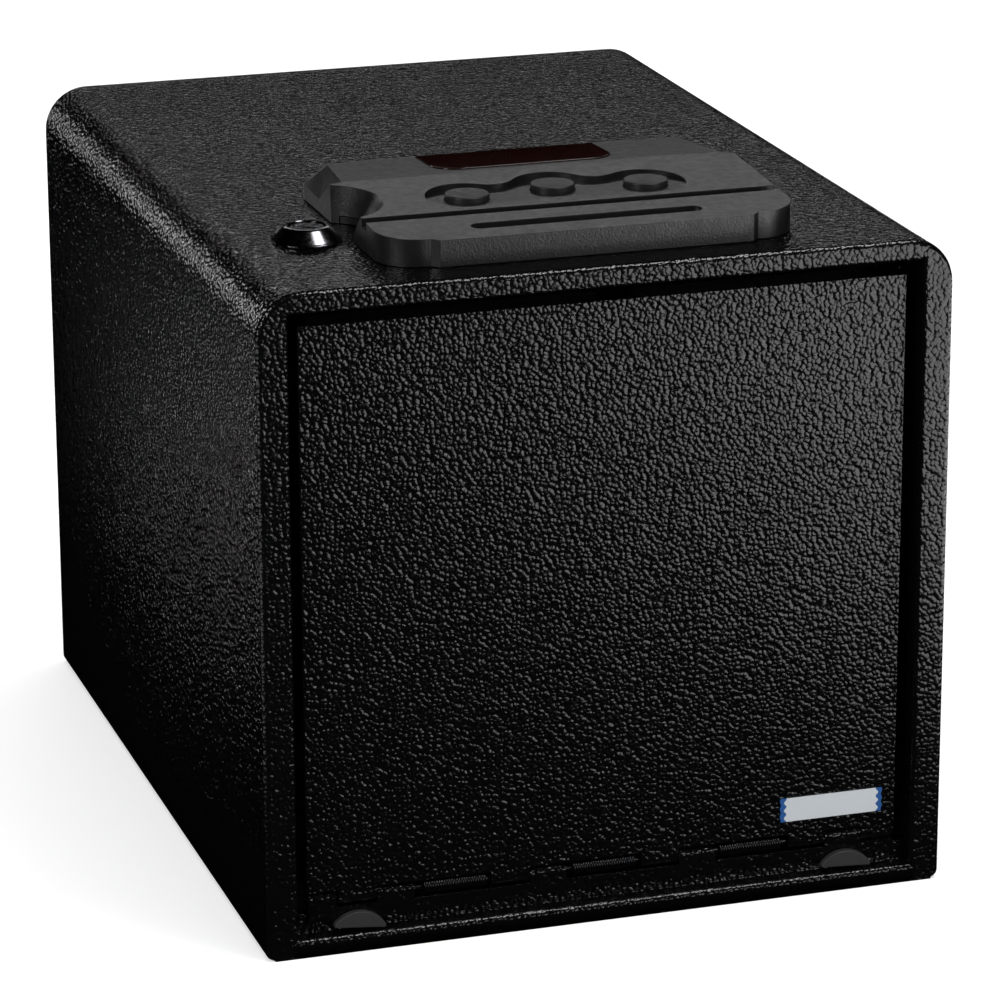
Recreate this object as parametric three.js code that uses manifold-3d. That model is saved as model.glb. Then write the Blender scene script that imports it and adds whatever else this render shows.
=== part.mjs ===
// Quick-access gun safe: a welded steel box with a drop-down front door on a sprung hinge,
// a keypad console and a key lock on the top. Millimetres, +Z up, the door faces -Y.
// Every sub-part is drawn with x from the middle, y back from the front plane and z up from
// the floor. The root group then moves the whole safe so that its origin is under its middle.

import * as THREE from "three";
import { mergeVertices } from "three/addons/utils/BufferGeometryUtils.js";
import { ConvexGeometry } from "three/addons/geometries/ConvexGeometry.js";
import Module from "manifold-3d";

const wasm = await Module();
wasm.setup();

// ---- driving dimensions -------------------------------------------------------------

const WIDTH = 240;
const DEPTH = 312;
const HEIGHT = 229;            // to the top sheet; the console and the lock stand above it
const SHEET = 2;
const GAP = 0.3;               // between neighbouring pieces
const TOP_RADIUS = 16;         // bend between the side walls and the top
const FOOT_RADIUS = 3;

const MOUTH_HALF = 109;        // half the width of the door opening
const MOUTH_TOP = 221.5;
const LIP_TOP = 6.2;           // height of the sill in front of the hinge
const LIP_DEPTH = 14;          // how far the frame turns in round the opening

const DOOR_HALF = 105;
const DOOR_TOP = 216.5;
const DOOR_FACE = 4.6;         // the door stands this far behind the frame
const DOOR_SHEET = 1.6;
const DOOR_FLANGE_BACK = 16;

const PIN = { y: 7.3, z: 17.8, radius: 1.2 };
const KNUCKLE = { outer: 2.7, inner: 1.5 };
const KNUCKLE_WALL = KNUCKLE.outer - KNUCKLE.inner;
const HINGE_PITCH = 53.3;      // one body knuckle, one spring and one door knuckle
const BODY_KNUCKLE = { first: -73.9, width: 12.8, count: 4 };
const DOOR_KNUCKLE = { first: -87.3, width: 13.2, count: 4 };
const SPRING = { first: -53.0, pitch: 52.7, width: 23, outer: 2.6, count: 3 };
const STRIP_TOP = 14.8;        // bottom of the notches between the body knuckles

const CONSOLE = { half: 72, front: 14.2, back: 118, corner: 14 };
const CONSOLE_FRONT_HEIGHT = 9.3;
const CONSOLE_TILT = THREE.MathUtils.degToRad(3.23);
const RIDGE_Y = 84.4;          // behind this line the console falls away to the back
const BACK_TILT = THREE.MathUtils.degToRad(2.9);
const COVER_BACK = 38.5;       // back edge of the battery cover
const GROOVE_BACK = 43.5;
const RECESS = { front: 45.5, floor: HEIGHT + 11.12, tilt: THREE.MathUtils.degToRad(1.8) };
const LOBE_RADIUS = 14;
const LOBES = [[-31.4, 58.8], [0, 64], [31.4, 58.8]];
const BUTTONS = [[-31.4, 58.2], [0, 62.8], [31.4, 58.2]];
const BUTTON_RADIUS = 7.5;
const SCOOP = { top: [-80.6, 62.6, 21.4], foot: [-78.8, 67.6, 15.3] };

const LOCK = { x: -85.8, y: 62 };
const CRANK = 5.66;            // radius of the cam's crank pin
const BOLT = { y: 35, z: 201, travel: 8 };
const SOLENOID = { x0: -68, x1: -34, y: 58, z: 214.4, half: 12 };
const CELL = { radius: 5.25, length: 44.5 };

// ---- materials ----------------------------------------------------------------------

function finish(colour, roughness, metalness) {
  return new THREE.MeshStandardMaterial({ color: colour, roughness, metalness });
}

const POWDER_COAT = finish(0x0b0b0c, 0.32, 0.0);
const INNER_COAT = finish(0x111112, 0.5, 0.0);
const CONSOLE_PLASTIC = finish(0x2c2c2e, 0.6, 0.0);
const BUTTON_PLASTIC = finish(0x303033, 0.5, 0.0);
const LENS_PLASTIC = finish(0x3a0d0a, 0.12, 0.0);
const RUBBER = finish(0x4a4a4c, 0.85, 0.0);
const FOAM = finish(0x1a1a1b, 0.95, 0.0);
const BLACK_NICKEL = finish(0x2e2e31, 0.2, 1.0);
const ZINC = finish(0x9a9b9e, 0.35, 1.0);
const STEEL = finish(0x77787b, 0.4, 1.0);
const COPPER_TAPE = finish(0x8a5a22, 0.45, 0.0);
const BOARD_GREEN = finish(0x16402a, 0.5, 0.0);
const MODULE_BLACK = finish(0x101011, 0.4, 0.0);
const LABEL_PAPER = finish(0xd5d9dc, 0.45, 0.0);
const CELL_SLEEVE = finish(0x2f5f8a, 0.35, 0.2);

// ---- shapes -------------------------------------------------------------------------

function box(x0, x1, y0, y1, z0, z1) {
  const shape = new THREE.BoxGeometry(x1 - x0, y1 - y0, z1 - z0);
  return shape.translate((x0 + x1) / 2, (y0 + y1) / 2, (z0 + z1) / 2);
}

function extrude(shape, length, segments) {
  return new THREE.ExtrudeGeometry(shape, {
    depth: length,
    steps: 1,
    bevelEnabled: false,
    curveSegments: segments,
  });
}

// A shape drawn in X and Y, standing from z0 to z1.
function prismZ(shape, z0, z1, segments = 8) {
  return extrude(shape, z1 - z0, segments).translate(0, 0, z0);
}

// A shape drawn in X and Z, running back from y0 to y1.
function prismY(shape, y0, y1, segments = 8) {
  return extrude(shape, y1 - y0, segments).rotateX(Math.PI / 2).translate(0, y1, 0);
}

// A shape drawn in Y and Z, running across from x0 to x1.
function prismX(shape, x0, x1, segments = 8) {
  const turn = new THREE.Matrix4().makeBasis(
    new THREE.Vector3(0, 1, 0),
    new THREE.Vector3(0, 0, 1),
    new THREE.Vector3(1, 0, 0),
  );
  return extrude(shape, x1 - x0, segments).applyMatrix4(turn).translate(x0, 0, 0);
}

function polygon(points) {
  return new THREE.Shape(points.map(([u, v]) => new THREE.Vector2(u, v)));
}

function disc(u, v, radius) {
  const shape = new THREE.Shape();
  shape.absarc(u, v, radius, 0, 2 * Math.PI, false);
  return shape;
}

// A rectangle with one radius for its upper corners and one for its lower corners.
function roundedPanel(half, low, high, upper, lower) {
  const shape = new THREE.Shape();
  shape.moveTo(-half + lower, low);
  shape.lineTo(half - lower, low);
  if (lower > 0) shape.absarc(half - lower, low + lower, lower, -Math.PI / 2, 0, false);
  shape.lineTo(half, high - upper);
  if (upper > 0) shape.absarc(half - upper, high - upper, upper, 0, Math.PI / 2, false);
  shape.lineTo(-half + upper, high);
  if (upper > 0) shape.absarc(-half + upper, high - upper, upper, Math.PI / 2, Math.PI, false);
  shape.lineTo(-half, low + lower);
  if (lower > 0) shape.absarc(-half + lower, low + lower, lower, Math.PI, 1.5 * Math.PI, false);
  return shape;
}

// A round piece about a vertical line, its profile given as radius and height.
function turned(profile, x, y, segments = 32) {
  const points = profile.map(([r, z]) => new THREE.Vector2(r, z));
  return new THREE.LatheGeometry(points, segments).rotateX(Math.PI / 2).translate(x, y, 0);
}

// A round piece about a line along X, its profile given as radius and x.
function turnedX(profile, y, z, segments = 16) {
  const points = profile.map(([r, x]) => new THREE.Vector2(r, x));
  return new THREE.LatheGeometry(points, segments).rotateZ(-Math.PI / 2).translate(0, y, z);
}

function ringProfile(inner, outer, low, high) {
  return [[inner, low], [outer, low], [outer, high], [inner, high], [inner, low]];
}

function rodProfile(radius, low, high) {
  return [[0, low], [radius, low], [radius, high], [0, high]];
}

// ---- joining and cutting ------------------------------------------------------------

function toSolid(geometry) {
  const bare = geometry.clone();
  bare.deleteAttribute("normal");
  bare.deleteAttribute("uv");
  const merged = mergeVertices(bare, 1e-4);
  return new wasm.Manifold(new wasm.Mesh({
    numProp: 3,
    vertProperties: new Float32Array(merged.attributes.position.array),
    triVerts: new Uint32Array(merged.index.array),
  }));
}

function toGeometry(solid) {
  const mesh = solid.getMesh();
  const geometry = new THREE.BufferGeometry();
  geometry.setAttribute("position", new THREE.BufferAttribute(mesh.vertProperties, 3));
  geometry.setIndex(new THREE.BufferAttribute(mesh.triVerts, 1));
  return geometry;
}

function join(...geometries) {
  const [first, ...rest] = geometries.map(toSolid);
  return toGeometry(rest.reduce((whole, next) => whole.add(next), first));
}

function cut(geometry, ...tools) {
  const whole = toSolid(geometry);
  return toGeometry(tools.map(toSolid).reduce((left, tool) => left.subtract(tool), whole));
}

function common(first, second) {
  return toGeometry(toSolid(first).intersect(toSolid(second)));
}

const safe = new THREE.Group();

function add(name, geometry, material) {
  const mesh = new THREE.Mesh(geometry, material);
  mesh.name = name;
  safe.add(mesh);
  return mesh;
}

// ---- box ----------------------------------------------------------------------------

const CEILING = HEIGHT - SHEET;
const WALL_INSIDE = WIDTH / 2 - SHEET;
const CONSOLE_SCREWS = [[-60, 28], [60, 28], [-60, 108.5], [60, 108.5]];
const TRAY = { half: 46.8, front: 17.2, back: 41.2 };
const LEAD_HOLE = { x: 0, y: 95, radius: 4 };

function bodyShell() {
  const outside = roundedPanel(WIDTH / 2, 0, HEIGHT, TOP_RADIUS, FOOT_RADIUS);
  const inside = roundedPanel(WALL_INSIDE, -5, CEILING, TOP_RADIUS - SHEET, 0);
  const hollow = prismY(inside, SHEET, DEPTH + 5);
  const mouth = box(-MOUTH_HALF, MOUTH_HALF, -5, LIP_DEPTH + 1, -5, MOUTH_TOP);
  const folds = [
    box(-MOUTH_HALF - SHEET, -MOUTH_HALF, 0, LIP_DEPTH, LIP_TOP + GAP, MOUTH_TOP + SHEET),
    box(MOUTH_HALF, MOUTH_HALF + SHEET, 0, LIP_DEPTH, LIP_TOP + GAP, MOUTH_TOP + SHEET),
    box(-MOUTH_HALF, MOUTH_HALF, 0, LIP_DEPTH, MOUTH_TOP, MOUTH_TOP + SHEET),
  ];
  const low = CEILING - 1;
  const high = HEIGHT + 1;
  const holes = [
    box(-TRAY.half - GAP, TRAY.half + GAP, TRAY.front - GAP, TRAY.back + GAP, low, high),
    prismZ(disc(LOCK.x, LOCK.y, 9.5), low, high, 20),
    prismZ(disc(LEAD_HOLE.x, LEAD_HOLE.y, LEAD_HOLE.radius), low, high),
    ...CONSOLE_SCREWS.map(([x, y]) => prismZ(disc(x, y, 1.8), low, high, 6)),
  ];
  const box1 = cut(prismY(outside, 0, DEPTH), hollow, mouth);
  return cut(join(box1, ...folds), ...holes);
}

function baseTray() {
  const flange = { front: 6.1, top: 13.4 };
  const front = polygon([
    [0, 0], [LIP_DEPTH + 2, 0], [LIP_DEPTH + 2, SHEET], [SHEET, SHEET],
    [SHEET, LIP_TOP - SHEET], [flange.front + SHEET, LIP_TOP - SHEET],
    [flange.front + SHEET, flange.top], [flange.front, flange.top],
    [flange.front, LIP_TOP], [0, LIP_TOP],
  ]);
  const half = WALL_INSIDE - GAP;
  const start = LIP_DEPTH + GAP;
  const wallFoot = 12;
  return join(
    prismX(front, -MOUTH_HALF + GAP, MOUTH_HALF - GAP),
    box(-half, half, SHEET + GAP, DEPTH, 0, SHEET),
    box(-half, -half + SHEET, start, DEPTH - SHEET - 2 * GAP, 0, wallFoot),
    box(half - SHEET, half, start, DEPTH - SHEET - 2 * GAP, 0, wallFoot),
  );
}

const BACK_HOLES = [[-70, 60], [70, 60], [-70, 170], [70, 170]];

function backPanel() {
  const outline = roundedPanel(
    WALL_INSIDE - GAP, SHEET + GAP, CEILING - GAP, TOP_RADIUS - SHEET, 0,
  );
  for (const [x, z] of BACK_HOLES) {
    const hole = new THREE.Path();
    hole.absarc(x, z, 4.3, 0, 2 * Math.PI, true);
    outline.holes.push(hole);
  }
  return prismY(outline, DEPTH - SHEET, DEPTH);
}

function holePlug(x, z) {
  const capInside = DEPTH - SHEET - GAP;
  const plug = [[0, 1.2], [7, 1.2], [7, 0], [4, 0], [4, -2], [0, -2]];
  const points = plug.map(([r, h]) => new THREE.Vector2(r, h)).reverse();
  return new THREE.LatheGeometry(points, 16).rotateX(Math.PI).translate(x, capInside, z);
}

add("body_shell", bodyShell(), POWDER_COAT);
add("base_tray", baseTray(), POWDER_COAT);
add("back_panel", backPanel(), POWDER_COAT);
BACK_HOLES.forEach(([x, z], i) => add(`hole_plug_${i + 1}`, holePlug(x, z), RUBBER));

const MAT = { half: 112, front: 22, back: 306, low: SHEET + GAP, high: 8.3 };
add(
  "floor_mat",
  box(-MAT.half, MAT.half, MAT.front, MAT.back, MAT.low, MAT.high),
  FOAM,
);

// ---- hinge --------------------------------------------------------------------------

function knuckleSpan(set, i) {
  const middle = set.first + i * HINGE_PITCH;
  return [middle - set.width / 2, middle + set.width / 2];
}

function spans(set) {
  return Array.from({ length: set.count }, (_, i) => knuckleSpan(set, i));
}

const HINGE_END = 104.4;
const BODY_SPANS = [[-HINGE_END, -94.7], ...spans(BODY_KNUCKLE)];
const DOOR_SPANS = [...spans(DOOR_KNUCKLE), [92.6, HINGE_END]];

function curl(x0, x1) {
  const ring = disc(PIN.y, PIN.z, KNUCKLE.outer);
  const bore = new THREE.Path();
  bore.absarc(PIN.y, PIN.z, KNUCKLE.inner, 0, 2 * Math.PI, true);
  ring.holes.push(bore);
  return prismX(ring, x0, x1, 12);
}

function hingeStrip() {
  const front = DOOR_FACE;
  const back = DOOR_FACE + KNUCKLE_WALL;
  const strip = box(-HINGE_END, HINGE_END, front, back, 10.2, STRIP_TOP);
  const leaves = BODY_SPANS.map(([a, b]) => box(a, b, front, back, STRIP_TOP - 1, PIN.z));
  const curls = BODY_SPANS.map(([a, b]) => curl(a, b));
  return join(strip, ...leaves, ...curls);
}

add("hinge_strip", hingeStrip(), POWDER_COAT);
add(
  "hinge_pin",
  turnedX(rodProfile(PIN.radius, -HINGE_END, HINGE_END), PIN.y, PIN.z, 16),
  STEEL,
);
for (let i = 0; i < SPRING.count; i += 1) {
  const middle = SPRING.first + i * SPRING.pitch;
  const half = SPRING.width / 2;
  const coil = ringProfile(KNUCKLE.inner, SPRING.outer, middle - half, middle + half);
  add(`hinge_spring_${i + 1}`, turnedX(coil, PIN.y, PIN.z, 16), STEEL);
}

// A round pad with its lower part cut off straight, glued to the strip by hand.
function doorPad(x, z, turn) {
  const halfChord = 9;
  const rise = 4.8;
  const radius = (halfChord ** 2 + rise ** 2) / (2 * rise);
  const skirt = 1.0;
  const droop = Math.asin((radius - rise) / radius);
  const shape = new THREE.Shape();
  shape.moveTo(-halfChord, 0);
  shape.lineTo(halfChord, 0);
  shape.absarc(0, skirt + rise - radius, radius, droop, Math.PI - droop, false);
  shape.closePath();
  const pad = prismY(shape, 1.6, DOOR_FACE - GAP, 12);
  return pad.rotateY(THREE.MathUtils.degToRad(turn)).translate(x, 0, z);
}

add("door_pad_left", doorPad(-87.3, 7.7, 6), RUBBER);
add("door_pad_right", doorPad(86.2, 7.8, 3.5), RUBBER);

// ---- door ---------------------------------------------------------------------------

function doorPanel() {
  const faceFoot = PIN.z + 3.1;
  const inner = DOOR_HALF - SHEET;
  const face = box(
    -DOOR_HALF, DOOR_HALF, DOOR_FACE, DOOR_FACE + DOOR_SHEET, faceFoot, DOOR_TOP,
  );
  const folds = [
    box(-DOOR_HALF, -inner, DOOR_FACE, DOOR_FLANGE_BACK, 22.5, DOOR_TOP),
    box(inner, DOOR_HALF, DOOR_FACE, DOOR_FLANGE_BACK, 22.5, DOOR_TOP),
    box(-DOOR_HALF, DOOR_HALF, DOOR_FACE, DOOR_FLANGE_BACK, DOOR_TOP - SHEET, DOOR_TOP),
  ];
  const tongues = DOOR_SPANS.map(
    ([a, b]) => box(a, b, DOOR_FACE, DOOR_FACE + KNUCKLE_WALL, PIN.z, faceFoot + 1),
  );
  const curls = DOOR_SPANS.map(([a, b]) => curl(a, b));
  return join(face, ...folds, ...tongues, ...curls);
}

const LINER = { half: 102.6, front: 14.2, back: 15.7, low: 24, high: 214.1 };
const STRIKER = { x0: 6.2, x1: 9.2, foot: LINER.back + GAP, tip: 44 };
const STRIKER_SCREWS = [-1, 16.4];

function striker() {
  const foot = box(-5, 20.4, STRIKER.foot, STRIKER.foot + 1.8, 193, 211);
  const blade = box(STRIKER.x0, STRIKER.x1, STRIKER.foot, STRIKER.tip, 193, 211);
  const eye = box(STRIKER.x0 - 1, STRIKER.x1 + 1, 29.8, 40.2, 197.2, 206.2);
  return cut(join(foot, blade), eye);
}

function strikerScrew(x) {
  const back = STRIKER.foot + 1.8 + GAP;
  const head = [[0, 0], [3.2, 0], [2.8, 1.6], [0, 2.0]].map(([r, h]) => new THREE.Vector2(r, h));
  return new THREE.LatheGeometry(head, 12).translate(x, back, 202);
}

add("door_panel", doorPanel(), POWDER_COAT);
add(
  "door_liner",
  box(-LINER.half, LINER.half, LINER.front, LINER.back, LINER.low, LINER.high),
  INNER_COAT,
);
add("door_striker", striker(), ZINC);
STRIKER_SCREWS.forEach((x, i) => add(`striker_screw_${i + 1}`, strikerScrew(x), ZINC));
add("door_label", box(62.5, 99.9, DOOR_FACE - 0.6, DOOR_FACE - GAP, 26, 34.5), LABEL_PAPER);

// ---- latch, hidden under the ceiling ------------------------------------------------

const HOUSING = { half: 98.2, front: 22, back: 104, floor: 183, top: CEILING - GAP, ear: 7.2 };

function latchHousing() {
  const wall = 1.5;
  const { half, front, back, floor, top, ear } = HOUSING;
  const outside = box(-half, half, front, back, floor, top);
  const inside = box(-half + wall, half - wall, front + wall, back - wall, floor + wall, top + 5);
  const lowFront = box(-half + wall, half - wall, front - 1, front + wall + 1, 224, top + 5);
  const slot = box(1.5, 14, front - 1, front + wall + 1, 189, top + 5);
  const ears = [
    box(-half - ear, -half + 1, 34, 92, top - wall, top),
    box(half - 1, half + ear, 34, 92, top - wall, top),
  ];
  return join(cut(outside, inside, lowFront, slot), ...ears);
}

function screwUnder(x, y, top) {
  const head = [[0, top - 2.2], [2.6, top - 2.0], [3.2, top], [0, top]];
  return turned(head, x, y, 12);
}

// L-shaped slide: a bar that carries the nose, a leg with the yoke slot for the cam's crank
// pin, and an upright tab that the solenoid's plunger pulls.
function boltSlide() {
  const low = BOLT.z - 1.3;
  const high = BOLT.z + 1.2;
  const edge = 4;
  const pinX = LOCK.x - CRANK * Math.SQRT1_2;
  const pinLow = LOCK.y + CRANK * Math.SQRT1_2;
  const slide = join(
    box(-96, -8, BOLT.y - edge, BOLT.y + edge, low, high),
    box(-96, -78, BOLT.y - edge, LOCK.y + 14, low, high),
    box(-30, 4.5, BOLT.y - edge, BOLT.y + edge, BOLT.z - 2.6, BOLT.z + 4),
    box(-24, -21.5, BOLT.y - edge, SOLENOID.y + 6, low, SOLENOID.z + 6),
  );
  const slot = box(
    pinX - 2.5, pinX + 2.5, pinLow - 2.8, LOCK.y + CRANK + 2.8, low - 1, high + 1,
  );
  return cut(slide, slot);
}

function boltGuide() {
  const block = box(-12.4, -3, BOLT.y - 9, BOLT.y + 9, 193.5, 210);
  const stem = box(-12.4, -3, BOLT.y + 6.5, BOLT.y + 9, 209, CEILING - GAP);
  const way = box(
    -15, -1, BOLT.y - 4.4, BOLT.y + 4.4, BOLT.z - 3, BOLT.z + 4.4,
  );
  return cut(join(block, stem), way);
}

function solenoidFrame() {
  const { x0, x1, y, z, half } = SOLENOID;
  const plate = 2;
  const block = box(x0, x1, y - half, y + half, z - half, z + half);
  const window_ = box(
    x0 + plate, x1 - plate, y - half - 1, y + half + 1, z - half + plate, z + half - plate,
  );
  const bore = turnedX(rodProfile(5, x1 - plate - 1, x1 + 1), y, z);
  return cut(block, window_, bore);
}

add("latch_housing", latchHousing(), INNER_COAT);
[[-102, 44], [-102, 82], [102, 44], [102, 82]].forEach(([x, y], i) => {
  const top = HOUSING.top - 1.5 - GAP;
  add(`housing_screw_${i + 1}`, screwUnder(x, y, top), ZINC);
});
add("bolt_slide", boltSlide(), ZINC);
add("bolt_guide", boltGuide(), ZINC);
add("solenoid_frame", solenoidFrame(), ZINC);
add(
  "solenoid_coil",
  turnedX(ringProfile(5, 9.6, SOLENOID.x0 + 2.3, SOLENOID.x1 - 2.3), SOLENOID.y, SOLENOID.z),
  COPPER_TAPE,
);
add(
  "solenoid_plunger",
  turnedX(rodProfile(4.5, -58, -24 - GAP), SOLENOID.y, SOLENOID.z),
  STEEL,
);
add(
  "bolt_spring",
  turnedX(ringProfile(5.2, 7.2, SOLENOID.x1 + GAP, -24 - GAP), SOLENOID.y, SOLENOID.z),
  STEEL,
);

// ---- key lock -----------------------------------------------------------------------

const PLUG_RADIUS = 5.9;
const BEZEL_TOP = HEIGHT + 5.3;

function lockBezel() {
  const h = HEIGHT;
  return turned([
    [10.9, h + GAP], [11.8, h + GAP], [11.8, h + 1.1], [7.7, h + 5.0], [7.2, BEZEL_TOP],
    [6.3, BEZEL_TOP], [6.3, h + 1.5], [10.9, h + 1.5], [10.9, h + GAP],
  ], LOCK.x, LOCK.y, 32);
}

function lockBody() {
  const h = HEIGHT;
  return turned([
    [6.3, 207], [9.2, 207], [9.2, h + GAP], [10.6, h + GAP], [10.6, h + 1.2],
    [6.3, h + 1.2], [6.3, 207],
  ], LOCK.x, LOCK.y, 24);
}

function lockPlug() {
  const plug = turned(rodProfile(PLUG_RADIUS, 206, BEZEL_TOP - 0.5), LOCK.x, LOCK.y, 24);
  const keyway = box(-3.6, 3.6, -0.9, 0.9, BEZEL_TOP - 12, BEZEL_TOP + 1);
  keyway.rotateZ(THREE.MathUtils.degToRad(-45)).translate(LOCK.x, LOCK.y, 0);
  return cut(plug, keyway);
}

function lockNut() {
  const hexagon = new THREE.Shape();
  const side = 12;
  for (let i = 0; i < 6; i += 1) {
    const angle = ((i + 0.5) * Math.PI) / 3;
    const corner = [LOCK.x + side * Math.cos(angle), LOCK.y + side * Math.sin(angle)];
    if (i === 0) hexagon.moveTo(...corner);
    else hexagon.lineTo(...corner);
  }
  const bore = new THREE.Path();
  bore.absarc(LOCK.x, LOCK.y, 9.5, 0, 2 * Math.PI, true);
  hexagon.holes.push(bore);
  return prismZ(hexagon, CEILING - GAP - 4, CEILING - GAP, 12);
}

function lockCam() {
  const wheel = turned(rodProfile(9, 203.2, 205.7), LOCK.x, LOCK.y, 24);
  const reach = CRANK * Math.SQRT1_2;
  const crank = turned(rodProfile(2, 198.6, 204), LOCK.x - reach, LOCK.y + reach, 16);
  return join(wheel, crank);
}

add("lock_bezel", lockBezel(), BLACK_NICKEL);
add("lock_body", lockBody(), ZINC);
add("lock_plug", lockPlug(), BLACK_NICKEL);
add("lock_nut", lockNut(), ZINC);
add("lock_cam", lockCam(), ZINC);

// ---- console ------------------------------------------------------------------------

const SLOPE = Math.tan(CONSOLE_TILT);
const FALL = Math.tan(BACK_TILT);

function plateTop(y) {
  return HEIGHT + CONSOLE_FRONT_HEIGHT + SLOPE * (y - CONSOLE.front);
}

const RIDGE_Z = plateTop(RIDGE_Y);

function roofTop(y) {
  return y < RIDGE_Y ? plateTop(y) : RIDGE_Z - FALL * (y - RIDGE_Y);
}

// A block under the console's top faces, from y0 to y1, with its top lowered by drop.
function underRoof(x0, x1, y0, y1, low, drop) {
  const points = [[y0, low], [y1, low], [y1, roofTop(y1) - drop]];
  if (y1 > RIDGE_Y && y0 < RIDGE_Y) points.push([RIDGE_Y, RIDGE_Z - drop]);
  points.push([y0, roofTop(y0) - drop]);
  return prismX(polygon(points), x0, x1);
}

// The scoop round the key lock: a leaning cone, narrower at the foot, with some wall added.
function scoop(wall) {
  const [tx, ty, tr] = SCOOP.top;
  const [fx, fy, fr] = SCOOP.foot;
  const low = HEIGHT + 2.85;
  const high = HEIGHT + 13;
  const extra = 1.4;
  const cone = new THREE.CylinderGeometry(
    tr + wall + (tr - fr) * (extra - 1), fr + wall, (high - low) * extra, 48,
  );
  cone.rotateX(Math.PI / 2).translate(0, 0, ((high - low) * extra) / 2);
  const lean = new THREE.Matrix4().set(
    1, 0, (tx - fx) / (high - low), fx,
    0, 1, (ty - fy) / (high - low), fy,
    0, 0, 1, low,
    0, 0, 0, 1,
  );
  return cone.applyMatrix4(lean);
}

function scoopFoot(extra, z0, z1) {
  const [x, y, r] = SCOOP.foot;
  return prismZ(disc(x, y, r + extra), z0, z1, 24);
}

// The console's outline seen from above, shrunk by inset.
function consoleOutline(inset) {
  const half = CONSOLE.half - inset;
  const front = CONSOLE.front + inset;
  const back = CONSOLE.back - inset;
  const cornerFront = front + 2.4;
  const r = CONSOLE.corner - inset;
  const bulge = 54 - inset;
  const shape = new THREE.Shape();
  shape.moveTo(-bulge, front);
  shape.lineTo(bulge, front);
  shape.lineTo(bulge + 2.4, cornerFront);
  shape.lineTo(half - r, cornerFront);
  shape.absarc(half - r, cornerFront + r, r, -Math.PI / 2, 0, false);
  shape.lineTo(half, back - 2);
  shape.lineTo(half - 8.6, back - 2);
  shape.lineTo(half - 27, back);
  shape.lineTo(-half + 27, back);
  shape.lineTo(-half + 8.6, back - 2);
  shape.lineTo(-half, back - 2);
  shape.lineTo(-half, cornerFront + r);
  shape.absarc(-half + r, cornerFront + r, r, Math.PI, 1.5 * Math.PI, false);
  shape.lineTo(-bulge - 2.4, cornerFront);
  return shape;
}

// The facets that bevel a back corner of the console, as blocks to cut away.
function cornerFacets(side) {
  const at = (x, y, h) => new THREE.Vector3(side * x, y, HEIGHT + h);
  const wingLow = at(72.1, 96, 4.8);
  const wingBack = at(72.1, 118, 5.3);
  const backTop = at(63.4, 118, roofTop(118) - HEIGHT + 0.05);
  const plateCorner = at(67.2, RIDGE_Y, RIDGE_Z - HEIGHT + 0.05);
  const peak = at(72.1, 82.3, 13.4);
  const away = new THREE.Vector3(side * 14, 0, 14);
  const rear = [wingLow, wingBack, backTop, plateCorner];
  const flank = [wingLow, plateCorner, peak];
  const block = (points) => new ConvexGeometry([
    ...points,
    ...points.map((p) => p.clone().add(away)),
    ...points.map((p) => p.clone().add(new THREE.Vector3(side * 14, 0, 0))),
    ...points.map((p) => p.clone().add(new THREE.Vector3(0, 0, 14))),
  ]);
  return [block(rear), block(flank)];
}

// Cloud-shaped outline of the button recess: three lobes with hollow fillets between them,
// straight across the front, where its floor meets the tilted top.
function cloud() {
  const fillet = 9;
  const reach = LOBE_RADIUS + fillet;
  const [left, middle, right] = LOBES;
  const betweenX = (right[0] + middle[0]) / 2;
  const betweenY = (right[1] + middle[1]) / 2;
  const apart = Math.hypot(right[0] - middle[0], right[1] - middle[1]);
  const out = Math.sqrt(reach ** 2 - (apart / 2) ** 2);
  const filletX = betweenX + (out * (middle[1] - right[1])) / apart;
  const filletY = betweenY + (out * (right[0] - middle[0])) / apart;
  const bearing = (from, to) => Math.atan2(to[1] - from[1], to[0] - from[0]);
  const hollowRight = [filletX, filletY];
  const hollowLeft = [-filletX, filletY];
  const shape = new THREE.Shape();
  shape.moveTo(left[0], RECESS.front);
  shape.lineTo(right[0], RECESS.front);
  shape.absarc(...right, LOBE_RADIUS, -Math.PI / 2, bearing(right, hollowRight), false);
  shape.absarc(
    ...hollowRight, fillet, bearing(hollowRight, right), bearing(hollowRight, middle), true,
  );
  shape.absarc(
    ...middle, LOBE_RADIUS, bearing(middle, hollowRight), bearing(middle, hollowLeft), false,
  );
  shape.absarc(
    ...hollowLeft, fillet, bearing(hollowLeft, middle), bearing(hollowLeft, left), true,
  );
  shape.absarc(...left, LOBE_RADIUS, bearing(left, hollowLeft), 1.5 * Math.PI, false);
  return shape;
}

// The recess as a block to cut away: its floor falls towards the back.
function recessRoom() {
  const block = prismZ(cloud(), 0, 20, 14).translate(0, -RECESS.front, 0);
  return block.rotateX(-RECESS.tilt).translate(0, RECESS.front, RECESS.floor);
}

const LENS = { half: 32, front: 89.6, back: 116.6, corner: 9, thickness: 1.2 };

// The lens outline with rounded front corners, spread by some clearance.
function lensOutline(spread) {
  const { half, front, back, corner } = LENS;
  const shape = new THREE.Shape();
  shape.moveTo(-half + corner, front - spread);
  shape.lineTo(half - corner, front - spread);
  shape.absarc(half - corner, front + corner, corner + spread, -Math.PI / 2, 0, false);
  shape.lineTo(half + spread, back + spread);
  shape.lineTo(-half - spread, back + spread);
  shape.absarc(-half + corner, front + corner, corner + spread, Math.PI, 1.5 * Math.PI, false);
  return shape;
}

// Lays a piece, drawn with z = 0 as the console's surface, onto the back slope.
function onBackSlope(geometry) {
  return geometry.translate(0, -RIDGE_Y, 0).rotateX(-BACK_TILT).translate(0, RIDGE_Y, RIDGE_Z);
}

const ROOF = 4.2;
const WALL = 2.4;

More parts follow.
